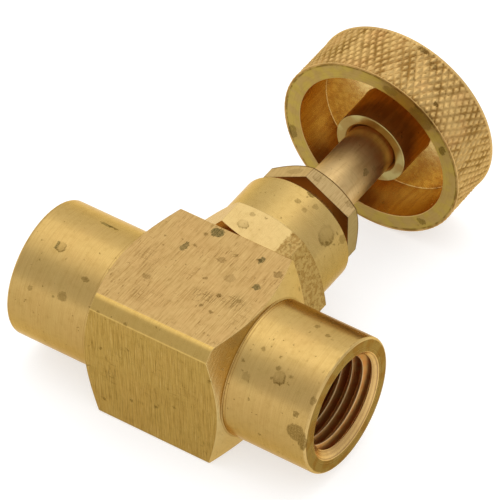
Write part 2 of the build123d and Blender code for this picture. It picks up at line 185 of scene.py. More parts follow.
def make_handwheel():
    low, high = RIM_Y / MM, WHEEL_HIGH.y / MM
    r = WHEEL_R / MM
    hub_y = WHEEL_LOW.y / MM
    floor_y = low + WHEEL_RECESS_DEPTH
    shoulder_y = hub_y + WHEEL_BORE_DEPTH
    face_r = r - KNURL_DEPTH - KNURL_EDGE - 0.02
    inner = rounded([
        (SQUARE_HOLE, shoulder_y),
        (WHEEL_BORE_R, shoulder_y),
        (WHEEL_BORE_R, hub_y + WHEEL_BORE_CHAMFER),
        (WHEEL_BORE_R + WHEEL_BORE_CHAMFER, hub_y),
        (WHEEL_HUB_R, hub_y),
        (WHEEL_HUB_R, floor_y),
        (WHEEL_RECESS_R, floor_y),
        (WHEEL_RECESS_R, low),
        (face_r, low),
    ], EDGE_R)
    back = rounded([
        (face_r, high),
        (COUNTERBORE_R, high),
        (COUNTERBORE_R, COUNTERBORE_Y),
        (SCREW_HOLE_R, COUNTERBORE_Y),
        (SCREW_HOLE_R, SQUARE_HOLE_TOP_Y),
    ], EDGE_R)
    step = 2 * pi * r / KNURL_COUNT / KNURL_STEPS / tan(KNURL_LEAN)
    rows = round((high - low - 2 * KNURL_EDGE) / step)
    rim = [low] + spaced(low + KNURL_EDGE, high - KNURL_EDGE, rows) + [high]
    profile = [("turned", *p) for p in inner[1:]]
    profile += [("knurled", r, y) for y in rim]
    profile += [("turned", *p) for p in back]
    profile += [("square", SQUARE_HOLE / 2, SQUARE_HOLE_TOP_Y), ("square", SQUARE_HOLE / 2, shoulder_y)]
    segments = KNURL_COUNT * KNURL_STEPS
    bm = bmesh.new()
    rings = []
    for kind, radius, y in profile:
        ring = []
        for k in range(segments):
            theta = 2 * pi * k / segments
            away = radius
            if kind == "knurled":
                fade = min(1, max(0, high - y - KNURL_LAND) / KNURL_FADE, (y - low) / KNURL_FADE)
                away -= KNURL_DEPTH * fade * knurl_depth(theta, y - low)
                away -= KNURL_BURR * fade * sin(12.9898 * k + 78.233 * y) ** 2
                away -= max(0, KNURL_EDGE - min(y - low, high - y))
            elif kind == "square":
                away /= max(abs(cos(theta)), abs(sin(theta)))
            ring.append(bm.verts.new((away * cos(theta) * MM, y * MM, away * sin(theta) * MM)))
        rings.append(ring)
    rings.append(rings[0])
    for a, b in zip(rings, rings[1:]):
        for k in range(segments):
            bm.faces.new((a[k], a[(k + 1) % segments], b[(k + 1) % segments], b[k]))
    wheel = new_object("handwheel_knurled", bm)
    smooth(wheel, 35)
    return wheel


# ---------------------------------------------------------------- materials

class Shader:
    """A short way to write a node material in object coordinates, measured in millimetres."""

    def __init__(self, name):
        self.material = bpy.data.materials.new(name)
        self.material.use_nodes = True
        self.tree = self.material.node_tree
        self.tree.nodes.clear()
        self.output = self.tree.nodes.new("ShaderNodeOutputMaterial")
        self.surface = self.tree.nodes.new("ShaderNodeBsdfPrincipled")
        self.tree.links.new(self.surface.outputs[0], self.output.inputs[0])
        coordinates = self.tree.nodes.new("ShaderNodeTexCoord")
        self.place = self.vector("MULTIPLY", coordinates.outputs["Object"], (1000, 1000, 1000))
        self.normal = coordinates.outputs["Normal"]
        self.normal_in_world = self.tree.nodes.new("ShaderNodeNewGeometry").outputs["Normal"]
        self.x, self.y, self.z = self.split(self.place)
        self.nx, self.ny, self.nz = self.split(self.normal)
        fine = self.node(
            "ShaderNodeTexNoise",
            {"Vector": self.scaled((2.5, 2.5, 2.5)), "Scale": 1.0, "Detail": 6.0, "Roughness": 0.65},
        ).outputs[1]
        wobble = self.vector("MULTIPLY", self.vector("SUBTRACT", fine, (0.5, 0.5, 0.5)), (0.9, 0.9, 0.9))
        self.shifted = self.vector("ADD", self.place, wobble)

    def node(self, kind, inputs, **settings):
        made = self.tree.nodes.new(kind)
        for key, value in settings.items():
            setattr(made, key, value)
        for key, value in inputs.items():
            socket = made.inputs[key]
            if isinstance(value, bpy.types.NodeSocket):
                self.tree.links.new(value, socket)
            else:
                socket.default_value = value
        return made

    def math(self, operation, *values, clamp=False):
        return self.node(
            "ShaderNodeMath", dict(enumerate(values)), operation=operation, use_clamp=clamp
        ).outputs[0]

    def times(self, *values, clamp=False):
        return self.math("MULTIPLY", *values, clamp=clamp)

    def plus(self, *values, clamp=False):
        return self.math("ADD", *values, clamp=clamp)

    def minus(self, *values, clamp=False):
        return self.math("SUBTRACT", *values, clamp=clamp)

    def either(self, *values):
        """The larger of two masks."""
        return self.math("MAXIMUM", *values)

    def absolute(self, value):
        return self.math("ABSOLUTE", value)

    def vector(self, operation, *values):
        made = self.node("ShaderNodeVectorMath", dict(enumerate(values)), operation=operation)
        return made.outputs[1] if operation in ("LENGTH", "DISTANCE", "DOT_PRODUCT") else made.outputs[0]

    def split(self, value):
        made = self.node("ShaderNodeSeparateXYZ", {0: value})
        return made.outputs[0], made.outputs[1], made.outputs[2]

    def join(self, x, y, z):
        return self.node("ShaderNodeCombineXYZ", {0: x, 1: y, 2: z}).outputs[0]

    def scaled(self, scale, place=None):
        return self.vector("MULTIPLY", place or self.place, scale)

    def noise(self, scale, detail=2.0, place=None, roughness=0.5):
        """Noise from 0 to 1. scale is per millimetre, one number or three."""
        if not isinstance(scale, tuple):
            scale = (scale, scale, scale)
        return self.node(
            "ShaderNodeTexNoise",
            {"Vector": self.scaled(scale, place), "Scale": 1.0, "Detail": detail, "Roughness": roughness},
        ).outputs[0]

    def step(self, value, low, high, to_low=0.0, to_high=1.0):
        """Smooth step from to_low at low, to to_high at high."""
        return self.node(
            "ShaderNodeMapRange",
            {"Value": value, "From Min": low, "From Max": high, "To Min": to_low, "To Max": to_high},
            interpolation_type="SMOOTHSTEP",
        ).outputs[0]

    def blend(self, share, a, b):
        """Number a where share is 0, and b where it is 1."""
        return self.node(
            "ShaderNodeMapRange", {"Value": share, "To Min": a, "To Max": b}
        ).outputs[0]

    def between(self, value, low, high, soft=0.05):
        """1 where the value lies from low to high."""
        rise = self.step(value, low - soft, low)
        return self.math("MULTIPLY", rise, self.step(value, high + soft, high))

    def all_of(self, *masks):
        total = masks[0]
        for mask in masks[1:]:
            total = self.math("MULTIPLY", total, mask)
        return total

    def mix(self, share, a, b, blend="MIX"):
        made = self.node("ShaderNodeMix", {}, data_type="RGBA", blend_type=blend)
        share_socket, a_socket, b_socket = made.inputs[0], made.inputs[6], made.inputs[7]
        for socket, value in ((share_socket, share), (a_socket, a), (b_socket, b)):
            if isinstance(value, bpy.types.NodeSocket):
                self.tree.links.new(value, socket)
            elif isinstance(value, tuple):
                socket.default_value = (*value, 1.0)
            else:
                socket.default_value = value
        return made.outputs[2]

    def darken(self, colour, share, tint):
        """Multiply the colour by the tint where share is 1."""
        return self.mix(share, colour, tint, "MULTIPLY")

    def bump(self, height, distance, normal=None, strength=1.0):
        inputs = {"Height": height, "Distance": distance * MM, "Strength": strength}
        if normal is not None:
            inputs["Normal"] = normal
        return self.node("ShaderNodeBump", inputs).outputs[0]

    def set(self, **values):
        for key, value in values.items():
            socket = self.surface.inputs[key.replace("_", " ")]
            if isinstance(value, bpy.types.NodeSocket):
                self.tree.links.new(value, socket)
            else:
                socket.default_value = (*value, 1.0) if isinstance(value, tuple) else value


# Brass colours
GOLD = (0.52, 0.355, 0.132)
ROSY = (0.60, 0.42, 0.19)
WORN_EDGE_HIGHLIGHT_GOLD = (0.66, 0.48, 0.20)
BRUSH_GOLD = (0.60, 0.42, 0.17)
HUB_GOLD = (0.48, 0.318, 0.105)
# painted shade for the hubs' downward-facing side
HUB_SHADED_GOLD = (0.415, 0.268, 0.082)
BAND_GOLD = (0.50, 0.33, 0.095)
SLOPE_FRONT_LIT_GOLD = (0.57, 0.425, 0.175)
SLOPE_BACK_SHADED_GOLD = (0.46, 0.315, 0.105)
TOP_TAN = (0.465, 0.302, 0.114)
FRONT_OLIVE = (0.395, 0.255, 0.066)
PORT_OLIVE = (0.215, 0.132, 0.036)
MOUTH_BROWN = (0.40, 0.24, 0.09)
MOUTH_GOLD = (0.62, 0.40, 0.15)
THREAD_BROWN = (0.55, 0.30, 0.09)
THREAD_RED = (0.56, 0.23, 0.06)
THREAD_CREST_HIGHLIGHT = (0.62, 0.42, 0.21)
BONNET_GOLD = (0.46, 0.31, 0.105)
BONNET_ROUND = (0.485, 0.33, 0.112)
BONNET_FLAT_HIGHLIGHT = (0.52, 0.37, 0.148)
COPPER_SHADE = (0.52, 0.27, 0.08)
UMBER_SHADE = (0.45, 0.225, 0.07)
NUT_GOLD = (0.46, 0.33, 0.13)
NUT_FLAT = (0.50, 0.35, 0.155)
NUT_EDGE = (0.10, 0.06, 0.025)
STEM_RUST = (0.50, 0.24, 0.09)
KNURL_GOLD = (0.575, 0.38, 0.142)
KNURL_RUDDY = (0.56, 0.32, 0.12)
RIM_OLIVE = (0.385, 0.275, 0.062)
RIM_BROWN = (0.36, 0.245, 0.075)
RECESS_ORANGE = (0.58, 0.37, 0.13)
RECESS_GOLD = (0.68, 0.50, 0.19)
SLEEVE_BROWN = (0.50, 0.25, 0.06)
SLEEVE_RUST = (0.62, 0.33, 0.09)
SLEEVE_CREAM = (0.40, 0.33, 0.13)
SLEEVE_OLIVE = (0.30, 0.20, 0.065)

# Tints that multiply a colour
SPOT_TINT = (0.27, 0.225, 0.10)
GREEN_TINT = (0.17, 0.21, 0.17)
BROWN_TINT = (0.62, 0.50, 0.34)
LINE_TINT = (0.74, 0.69, 0.60)
CLOUD_TINT = (1.0, 0.93, 0.92)
MOTTLE_TINT = (0.80, 0.77, 0.66)
HATCH_TINT = (0.66, 0.62, 0.52)
SCRATCH_TINT = (0.50, 0.44, 0.33)
GROOVE_SHADE_TINT = (0.55, 0.45, 0.30)
STAIN_TINT = (0.86, 0.66, 0.50)
CRUMB_TINT = (0.42, 0.35, 0.20)
ROUND_SIDE_SHADE_TINT = (0.76, 0.74, 0.66)
FLAT_END_TINT = (0.66, 0.60, 0.48)
SIDE_FLAT_SHADE_TINT = (0.80, 0.78, 0.72)
NUT_SIDE_SHADE_TINT = (0.56, 0.62, 0.64)
NUT_LINE_TINT = (0.30, 0.22, 0.13)
STEM_END_TINT = (0.80, 0.62, 0.46)
KNURL_GROOVE_TINT = (0.42, 0.34, 0.22)
RIM_DIRT_TINT = (0.42, 0.36, 0.24)
GRAZING_TINT = (1.0, 0.82, 0.52)


def around_flow(x, degrees):
    """A place on a hub: 0 degrees is the top, 90 the front."""
    return x, BODY_AXIS_Y - HUB_R * sin(radians(degrees)), HUB_R * cos(radians(degrees))


def around_stem(y, degrees, radius):
    """A place round the stem's axis: 0 degrees is the top, 90 towards +X."""
    return radius * sin(radians(degrees)), y, radius * cos(radians(degrees))


# The main tarnish marks, to half a millimetre or five degrees: centre, size, strength and kind
BODY_MARKS = (
    ((1, 10.5, TOP_Z), 0.3, 0.6, "spot"),
    ((4, 9, TOP_Z), 0.35, 0.9, "spot"),
    ((-5, 7, TOP_Z), (0.6, 0.45, 1), 0.5, "spot"),
    ((1, 14, TOP_Z), 0.5, 0.5, "spot"),
    ((2, 15.5, TOP_Z), 0.3, 0.6, "spot"),
    ((3.5, 12, TOP_Z), 0.7, 0.35, "spot"),
    ((8, 15.5, TOP_Z), 0.6, 0.6, "spot"),
    ((6.5, 9.5, TOP_Z), 0.35, 0.6, "spot"),
    ((2.5, 8, TOP_Z), (2, 1.2, 1), 0.75, "scratch"),
    ((6, 9, TOP_Z), (2.2, 1.5, 1), 0.7, "scratch"),
    ((-3.5, 4.5, TOP_Z), (3, 1.6, 1), 0.4, "scratch"),
    ((-6.5, 9.5, TOP_Z), (2, 2.6, 1), 0.45, "scratch"),
    ((-6, 0, -1.5), (1.3, 1, 2.4), 0.7, "scratch"),
    ((-3.5, 0, 3), (1.5, 1, 1.5), 0.5, "scratch"),
    ((4.5, 0, 0.5), (2.2, 1, 2.4), 0.35, "scratch"),
    ((10, 4, 9), (1.2, 2.2, 1.6), 0.75, "soft"),
    (around_flow(-17, 20), 0.75, 1.0, "ring"),
    (around_flow(-13.5, -20), (0.8, 0.25, 0.5), 0.85, "spot"),
    (around_flow(-14, 55), 0.65, 0.55, "spot"),
    (around_flow(-18.5, 60), 0.4, 0.5, "spot"),
    (around_flow(-12, 35), (0.6, 0.3, 0.4), 0.7, "spot"),
    (around_flow(16, 40), 0.85, 1.0, "ring"),
    (around_flow(16, -15), 0.35, 0.6, "spot"),
    (around_flow(18, -10), 0.35, 0.6, "spot"),
    (around_flow(12.5, 25), 0.3, 0.5, "spot"),
    (around_flow(12, 50), 0.6, 0.35, "spot"),
    (around_flow(20, 75), (1.3, 0.9, 1.2), 0.7, "spot"),
    (around_flow(21, 80), (0.6, 0.5, 1.5), 0.8, "spot"),
    (around_flow(19.5, 60), 0.4, 0.7, "spot"),
    (around_flow(21, 45), (0.4, 0.6, 0.6), 0.6, "spot"),
)
GREEN_MARKS = (
    ((-4, 13.5, TOP_Z), (0.4, 0.95, 1), 0.8, "spot"),
    ((-2, 17.5, TOP_Z), (0.85, 0.75, 1), 0.95, "spot"),
    ((5, 16.5, TOP_Z), (0.35, 0.6, 1), 0.9, "spot"),
    ((7, 12.5, TOP_Z), (0.55, 0.5, 1), 0.85, "spot"),
    (around_flow(-14.5, -20), (0.9, 0.3, 0.6), 0.7, "spot"),
    (around_flow(-17.5, 20), (0.3, 0.6, 0.6), 0.7, "spot"),
)
BONNET_MARKS = (
    (around_stem(23, -5, 8.5), 0.4, 0.45, "spot"),
    (around_stem(21, -5, 8.5), 0.75, 0.8, "ring"),
    (around_stem(28, 55, BONNET_R), (1.1, 1.5, 1.4), 0.85, "ring"),
    (around_stem(27.5, 60, BONNET_R), 0.3, 0.95, "spot"),
    (around_stem(28.5, 15, BONNET_R), 0.4, 0.55, "spot"),
    (around_stem(28, 25, BONNET_R), 0.35, 0.45, "spot"),
    (around_stem(29.5, 30, BONNET_R), 0.4, 0.45, "spot"),
    (around_stem(30.5, 20, BONNET_R), (0.6, 0.4, 0.5), 0.85, "spot"),
    (around_stem(30, 70, BONNET_R), 0.7, 0.5, "spot"),
)
GLAND_MARKS = (
    (around_stem(34, 10, 6.7), 0.6, 0.6, "ring"),
    (around_stem(34.5, 55, 6.6), 0.6, 0.4, "spot"),
    (around_stem(34, -20, 6.2), (1.6, 0.6, 0.9), 0.35, "spot"),
)
STEM_MARKS = (
    (around_stem(42, 60, STEM_R), (0.4, 0.6, 0.5), 0.85, "spot"),
    (around_stem(43.5, 70, STEM_R), (0.3, 0.4, 0.5), 0.5, "spot"),
)
WHEEL_MARKS = (
    (around_stem(47.5, -105, 12), (0.7, 0.6, 1.2), 0.65, "spot"),
    (around_stem(47.5, 65, 11.5), (0.5, 0.6, 0.8), 0.85, "spot"),
    (around_stem(47.5, 140, 11.5), (0.8, 0.6, 0.5), 0.7, "spot"),
    (around_stem(47.5, 40, 11.5), (1.9, 0.6, 1.9), 0.55, "spot"),
    (around_stem(47.5, 15, 11.5), (1.2, 0.6, 0.7), 0.45, "spot"),
    (around_stem(49.5, 40, 12.8), 0.45, 0.95, "spot"),
    (around_stem(54.5, 15, 12.8), (1.1, 0.4, 0.5), 0.85, "spot"),
    (around_stem(53.5, 25, 12.8), (0.8, 0.4, 0.5), 0.6, "spot"),
)


def scattered(s, scale, smallest, largest, share, seed):
    """Mask of round tarnish spots of random size: scale is cells per millimetre."""
    place = s.vector("ADD", s.scaled((scale, scale, scale), s.shifted), (seed, seed, seed))
    cell = s.node("ShaderNodeTexVoronoi", {"Vector": place, "Scale": 1.0})
    chance, size, _ = s.split(cell.outputs["Color"])
    radius = s.step(size, 0, 1, smallest * scale, largest * scale)
    inside = s.minus(1.0, s.math("DIVIDE", cell.outputs["Distance"], radius), clamp=True)
    return s.times(s.step(inside, 0.0, 0.55), s.math("LESS_THAN", chance, share))


def marked(s, marks):
    """Mask of the listed marks, with ragged edges and an uneven middle."""
    fine_lines = s.step(s.noise((9.0, 0.45, 0.4), 3.0), 0.53, 0.61)
    cross_lines = s.step(s.noise((0.5, 9.0, 4.0), 3.0), 0.58, 0.66)
    total = 0.0
    for centre, size, strength, kind in marks:
        size = size if isinstance(size, tuple) else (size, size, size)
        offset = s.vector("DIVIDE", s.vector("SUBTRACT", s.shifted, centre), size)
        away = s.vector("LENGTH", offset)
        mark = s.step(away, 1.05, 0.85, 0.0, strength)
        if kind == "ring":
            lop = s.step(s.vector("DOT_PRODUCT", offset, (0.6, -0.6, -0.4)), -0.6, 0.5, 0.3, 1.0)
            mark = s.all_of(mark, s.step(away, 0.6, 0.85, 0.45, 1.0), lop)
        elif kind == "soft":
            mark = s.step(away, 1.2, 0.0, 0.0, strength)
        elif kind == "scratch":
            mark = s.step(away, 1.3, 0.3, 0.0, strength)
            mark = s.all_of(mark, s.either(fine_lines, cross_lines))
        total = s.either(total, mark)
    return s.times(total, s.step(s.noise(9.0, 3.0), 0.35, 0.6, 0.5, 1.0))


def worn(s, colour, rough, height, depth, marks, share=0.35, bevel=0.1, edge_colour=WORN_EDGE_HIGHLIGHT_GOLD,
         edge_share=0.45, edge_from=0.985, edge_to=0.9):
    """Finish a brass: clouds and mottling, tarnish spots, marks, softened edges coloured partly as wear and
    partly as a painted highlight, and relief.
    """
    cloud = s.step(s.noise(0.22, 3.0), 0.35, 0.68)
    colour = s.mix(s.times(cloud, 0.35), colour, s.darken(colour, 1.0, CLOUD_TINT))
    mottle = s.noise(1.3, 4.0)
    colour = s.darken(colour, s.step(mottle, 0.45, 0.75, 0, 0.4), MOTTLE_TINT)
    small = scattered(s, 0.5, 0.12, 0.42, share, 3.7)
    tiny = scattered(s, 1.5, 0.05, 0.16, share, 11.3)
    spot = s.either(s.times(small, 0.55), s.times(tiny, 0.6))
    spot = s.either(spot, marked(s, marks))
    colour = s.darken(colour, spot, SPOT_TINT)
    rough = s.plus(rough, s.times(s.minus(mottle, 0.5), 0.1))
    rough = s.plus(rough, s.times(spot, 0.15))
    soft_edge = s.node("ShaderNodeBevel", {"Radius": bevel * MM}, samples=6).outputs[0]
    height = s.plus(height, s.times(mottle, 0.3))
    height = s.minus(height, s.times(spot, 0.5))
    # the edges take the edge colour; the default lighter gold is partly worn edges, partly a painted
    # highlight
    edge = s.step(s.vector("DOT_PRODUCT", soft_edge, s.normal_in_world), edge_from, edge_to, 0.0, edge_share)
    colour = s.mix(edge, colour, edge_colour)
    s.set(Base_Color=colour, Metallic=1.0, Roughness=rough, Normal=s.bump(height, depth, soft_edge))
    s.set(Specular_Tint=GRAZING_TINT)
    return s.material


def body_brass():
    """Brushed flats, turned hubs, olive port faces, banded mouths and brown threads; painted shade darkens
    the lower hubs, the back of the shoulders and the small grooves, and partly the front and port faces, and
    painted highlights pale the thread crests.
    """
    s = Shader("body_brass")
    off_y = s.minus(s.y, BODY_AXIS_Y)
    flow_r = s.vector("LENGTH", s.join(0.0, off_y, s.z))
    far = s.absolute(s.x)
    sideways = s.absolute(s.nx)
    square = s.step(far, SQUARE_X + 0.15, SQUARE_X)
    top = s.times(s.step(s.nz, 0.985, 0.998), square)
    front = s.times(s.step(s.ny, -0.96, -0.99), square)
    hub = s.times(s.step(far, SQUARE_X - 0.1, SQUARE_X + 0.1), s.step(flow_r, HUB_R - 0.35, HUB_R - 0.15))
    hub = s.times(hub, s.step(sideways, 0.5, 0.2))
    face = s.times(s.step(far, PORT_X - 0.1, PORT_X - 0.03), s.step(sideways, 0.9, 0.97))
    inside = s.times(s.step(flow_r, MOUTH_R, MOUTH_R - 0.08), s.step(far, 8.2, 8.4))
    bore = s.times(inside, s.step(far, THREAD_X + 0.1, THREAD_X - 0.1))
    along_y = s.noise((8.0, 0.35, 0.35), 5.0, roughness=0.65)
    along_z = s.noise((7.0, 0.6, 0.30), 5.0, roughness=0.65)
    turned = s.noise((9.0, 0.2, 0.2), 2.0)
    rings = s.noise(4.0, 3.0, s.join(flow_r, 0.0, 0.0))
    lines = s.blend(front, along_y, along_z)
    lines = s.plus(s.times(lines, s.minus(1.0, hub)), s.times(turned, hub))
    lines = s.plus(s.times(lines, s.minus(1.0, face)), s.times(rings, face))
    band = s.all_of(s.step(s.y, BAND_Y + 0.1, BAND_Y - 0.1), s.step(s.z, BAND_Z - 0.1, BAND_Z + 0.1), square)
    # painted shade: the hubs' downward-facing side takes a darker gold
    colour = s.mix(hub, GOLD, s.mix(s.step(s.ny, -0.82, -0.98), HUB_GOLD, HUB_SHADED_GOLD))
    # the chamfer band, the front and the port faces take darker, more olive brass than the top: partly their
    # own tone, partly painted shade
    colour = s.mix(band, colour, BAND_GOLD)
    # painted light and shade: the shoulders run from paler gold at the front to darker gold at the back
    slope = s.times(s.step(far, SQUARE_X + 0.15, SQUARE_X + 0.05), s.between(sideways, 0.25, 0.9, 0.1))
    height_share = s.step(s.y, BODY_AXIS_Y - 1.4, BODY_AXIS_Y + 1.6)
    colour = s.mix(slope, colour, s.mix(height_share, SLOPE_FRONT_LIT_GOLD, SLOPE_BACK_SHADED_GOLD))
    colour = s.mix(top, colour, TOP_TAN)
    colour = s.mix(front, colour, FRONT_OLIVE)
    colour = s.mix(face, colour, PORT_OLIVE)
    # mouth chamfer: brown and gold bands; thread: reddish brown roots under paler crests, the paler crests a
    # painted highlight
    banded = s.step(rings, 0.42, 0.58)
    colour = s.mix(inside, colour, s.mix(banded, MOUTH_BROWN, MOUTH_GOLD))
    crest_r = s.plus(THREAD_AXIS_R, s.times(far, THREAD_TAPER))
    # painted highlight: the thread crests take a paler gold than the roots
    crest = s.step(s.minus(flow_r, crest_r), 0.12, 0.02)
    ruddy = s.step(s.noise(0.9, 3.0), 0.4, 0.65)
    root = s.mix(ruddy, THREAD_BROWN, THREAD_RED)
    colour = s.mix(bore, colour, s.mix(crest, root, THREAD_CREST_HIGHLIGHT))
    # brush marks, clusters of scratches on the flats, and upright hatching on the front
    flat = s.plus(top, front, clamp=True)
    weight = s.plus(flat, 0.35)
    colour = s.darken(colour, s.times(s.step(lines, 0.48, 0.68, 0, 0.75), weight), LINE_TINT)
    colour = s.mix(s.times(s.step(lines, 0.46, 0.3, 0, 0.35), weight), colour, BRUSH_GOLD)
    scratch = s.step(s.noise((9.0, 0.9, 0.6), 2.0), 0.60, 0.70)
    scratch = s.either(scratch, s.step(s.noise((0.9, 10.0, 4.0), 2.0), 0.62, 0.72, 0.0, 0.8))
    cluster = s.step(s.noise((0.45, 0.3, 0.3), 2.0), 0.45, 0.6)
    scratch = s.all_of(scratch, cluster, flat)
    hatch = s.times(front, s.step(s.noise((13.0, 1.0, 0.12), 2.0), 0.5, 0.62, 0.0, 0.55))
    colour = s.darken(colour, hatch, HATCH_TINT)
    colour = s.darken(colour, s.times(scratch, 0.85), SCRATCH_TINT)
    # painted shade: darker lines in a small groove where the shoulders meet the hubs, in a fine turned line
    # beside them and in a ring line on the port faces
    root_line = s.between(far, SQUARE_X - 0.08, SQUARE_X + 0.06, 0.06)
    ring_line = s.between(far, SQUARE_X + 0.36, SQUARE_X + 0.42, 0.04)
    port_line = s.times(face, s.between(flow_r, MOUTH_R + 0.38, MOUTH_R + 0.44, 0.05))
    line = s.times(s.either(root_line, s.times(ring_line, 0.6)), s.step(flow_r, HUB_R + 0.55, HUB_R + 0.25))
    line = s.either(line, port_line)
    colour = s.darken(colour, s.times(line, 0.55), GROOVE_SHADE_TINT)
    # burnt stains on the port faces, and dirt along their outer edge
    stain = s.step(s.noise(0.55, 3.0), 0.46, 0.6)
    colour = s.darken(colour, s.times(face, stain), STAIN_TINT)
    hub_end = s.times(hub, s.step(far, PORT_X - 0.45, PORT_X - 0.2))
    face_edge = s.times(face, s.step(flow_r, HUB_R - 0.3, HUB_R - 0.15))
    lip = s.times(s.either(hub_end, face_edge), s.step(s.noise((2.2, 1.6, 1.6), 4.0), 0.48, 0.58))
    colour = s.darken(colour, s.times(lip, 0.7), CRUMB_TINT)
    rough = s.blend(top, 0.25, 0.36)
    rough = s.plus(rough, s.times(bore, 0.1))
    relief = s.times(lines, s.blend(hub, 1.0, 0.25))
    height = s.plus(relief, s.times(scratch, -0.5))
    height = s.minus(s.minus(height, line), hatch)
    colour = s.darken(colour, marked(s, GREEN_MARKS), GREEN_TINT)
    return worn(s, colour, rough, height, 0.014, BODY_MARKS, 0.4)


def bonnet_brass():
    """Turned round part, a bright upper flat with a mottled end, and a rough flat beside it, with painted
    light and shade: a paler upper flat, and darker brass on the round part's +X side, the right-hand flat,
    the underside and the top end.
    """
    s = Shader("bonnet_brass")
    from_stem = s.vector("LENGTH", s.join(s.x, 0.0, s.z))
    turned_part = s.step(s.absolute(s.minus(from_stem, BONNET_R)), 0.03, 0.01)
    turned_part = s.times(turned_part, s.step(s.y, HEX_END_Y - 0.4, HEX_END_Y - 0.1))
    flats = s.times(s.step(s.y, HEX_END_Y + 0.2, HEX_END_Y), s.step(s.absolute(s.ny), 0.2, 0.1))
    turned = s.noise((0.22, 10.0, 0.22), 3.0)
    along_y = s.noise((9.0, 0.4, 9.0), 4.0)
    lines = s.blend(flats, turned, along_y)
    colour = s.mix(turned_part, BONNET_GOLD, BONNET_ROUND)
    # painted shade: the round part's side towards +X is darker
    colour = s.darken(colour, s.times(turned_part, s.step(s.nx, 0.8, 0.99)), ROUND_SIDE_SHADE_TINT)
    # painted highlight: the upward-facing flats take a paler gold
    bright_flat = s.times(flats, s.step(s.nz, 0.3, 0.9))
    colour = s.mix(bright_flat, colour, BONNET_FLAT_HIGHLIGHT)
    # rough right-hand flat, darkened with painted shade, and the mottled end of the upper one
    coarse = s.step(s.noise((2.4, 1.6, 2.4), 5.0, roughness=0.7), 0.46, 0.56)
    side_flat = s.all_of(flats, s.step(s.nz, 0.8, 0.6), s.step(s.nx, 0.3, 0.6))
    along_flat = s.vector("DOT_PRODUCT", s.shifted, (cos(HEX_FLAT), 0.0, -sin(HEX_FLAT)))
    flat_end = s.all_of(flats, s.step(s.nz, 0.9, 0.95), s.step(along_flat, FLAT_END - 0.1, FLAT_END + 0.1))
    colour = s.darken(colour, s.times(flat_end, 0.85), FLAT_END_TINT)
    # painted shade: the right-hand flat is darker
    colour = s.darken(colour, side_flat, SIDE_FLAT_SHADE_TINT)
    coarse = s.times(coarse, s.either(side_flat, flat_end))
    colour = s.darken(colour, s.times(coarse, 0.7), BROWN_TINT)
    colour = s.darken(colour, s.step(lines, 0.5, 0.75, 0, 0.4), LINE_TINT)
    # painted shade: the bonnet's top end, in the gap under the gland nut, takes a dark umber
    end = s.step(s.y, BONNET_TOP_Y - 0.15, BONNET_TOP_Y - 0.05)
    end = s.times(end, s.step(from_stem, BONNET_R - 0.05, BONNET_R - 0.15))
    colour = s.mix(end, colour, UMBER_SHADE)
    # painted shade: the faces turned towards the body take a dark copper brown
    under = s.step(s.ny, -0.5, -0.8)
    colour = s.mix(under, colour, COPPER_SHADE)
    height = s.plus(s.times(lines, s.blend(flats, 0.25, 0.7)), s.times(coarse, -0.8))
    return worn(s, colour, 0.27, height, 0.010, BONNET_MARKS, 0.4)


def gland_brass():
    """Brushed flats with a thin dark line along their far edge."""
    s = Shader("gland_brass")
    along_y = s.noise((9.0, 0.5, 9.0), 4.0)
    flats = s.step(s.absolute(s.ny), 0.2, 0.1)
    colour = s.mix(flats, NUT_GOLD, NUT_FLAT)
    colour = s.darken(colour, s.step(along_y, 0.45, 0.68, 0, 0.8), LINE_TINT)
    # painted shade: the flats facing +X are darker and greyer
    colour = s.darken(colour, s.all_of(flats, s.step(s.nx, 0.6, 0.9), 0.9), NUT_SIDE_SHADE_TINT)
    # painted shade: the nut's underside, in the gap over the bonnet, takes a dark umber
    under = s.step(s.ny, -0.5, -0.9)
    colour = s.mix(under, colour, UMBER_SHADE)
    from_stem = s.vector("LENGTH", s.join(s.x, 0.0, s.z))
    cone_y = s.plus(s.y, s.times(s.minus(from_stem, NUT_HALF_WIDTH), tan(NUT_CHAMFER)))
    edge_line = s.times(flats, s.step(cone_y, NUT_TOP_Y - 0.19, NUT_TOP_Y - 0.11))
    colour = s.darken(colour, edge_line, NUT_LINE_TINT)
    brink = s.times(s.between(s.y, NUT_TOP_Y - 0.7, NUT_TOP_Y + 0.05, 0.1), s.step(s.ny, 0.3, 0.7))
    colour = s.darken(colour, s.times(brink, 0.35), BROWN_TINT)
    return worn(
        s, colour, 0.34, along_y, 0.016, GLAND_MARKS,
        edge_colour=NUT_EDGE, edge_share=0.85, edge_from=0.997, edge_to=0.975,
    )


def stem_brass():
    """Fine turned lines, and a reddish stain towards the handwheel."""
    s = Shader("stem_brass")
    turned = s.noise((0.25, 9.0, 0.25), 4.0)
    streak = s.noise((2.2, 0.35, 2.2), 3.0)
    colour = s.darken(ROSY, s.step(turned, 0.45, 0.75, 0, 0.45), LINE_TINT)
    colour = s.darken(colour, s.step(streak, 0.5, 0.7, 0, 0.3), BROWN_TINT)
    stained = s.step(s.plus(s.y, s.times(streak, 3.0)), STAIN_FROM_Y, STAIN_TO_Y)
    colour = s.darken(colour, s.times(stained, 0.85), STEM_END_TINT)
    ruddy = s.all_of(stained, s.step(s.noise(0.8, 3.0), 0.5, 0.65))
    colour = s.mix(s.times(ruddy, 0.5), colour, STEM_RUST)
    return worn(s, colour, 0.32, turned, 0.010, STEM_MARKS, 0.3)


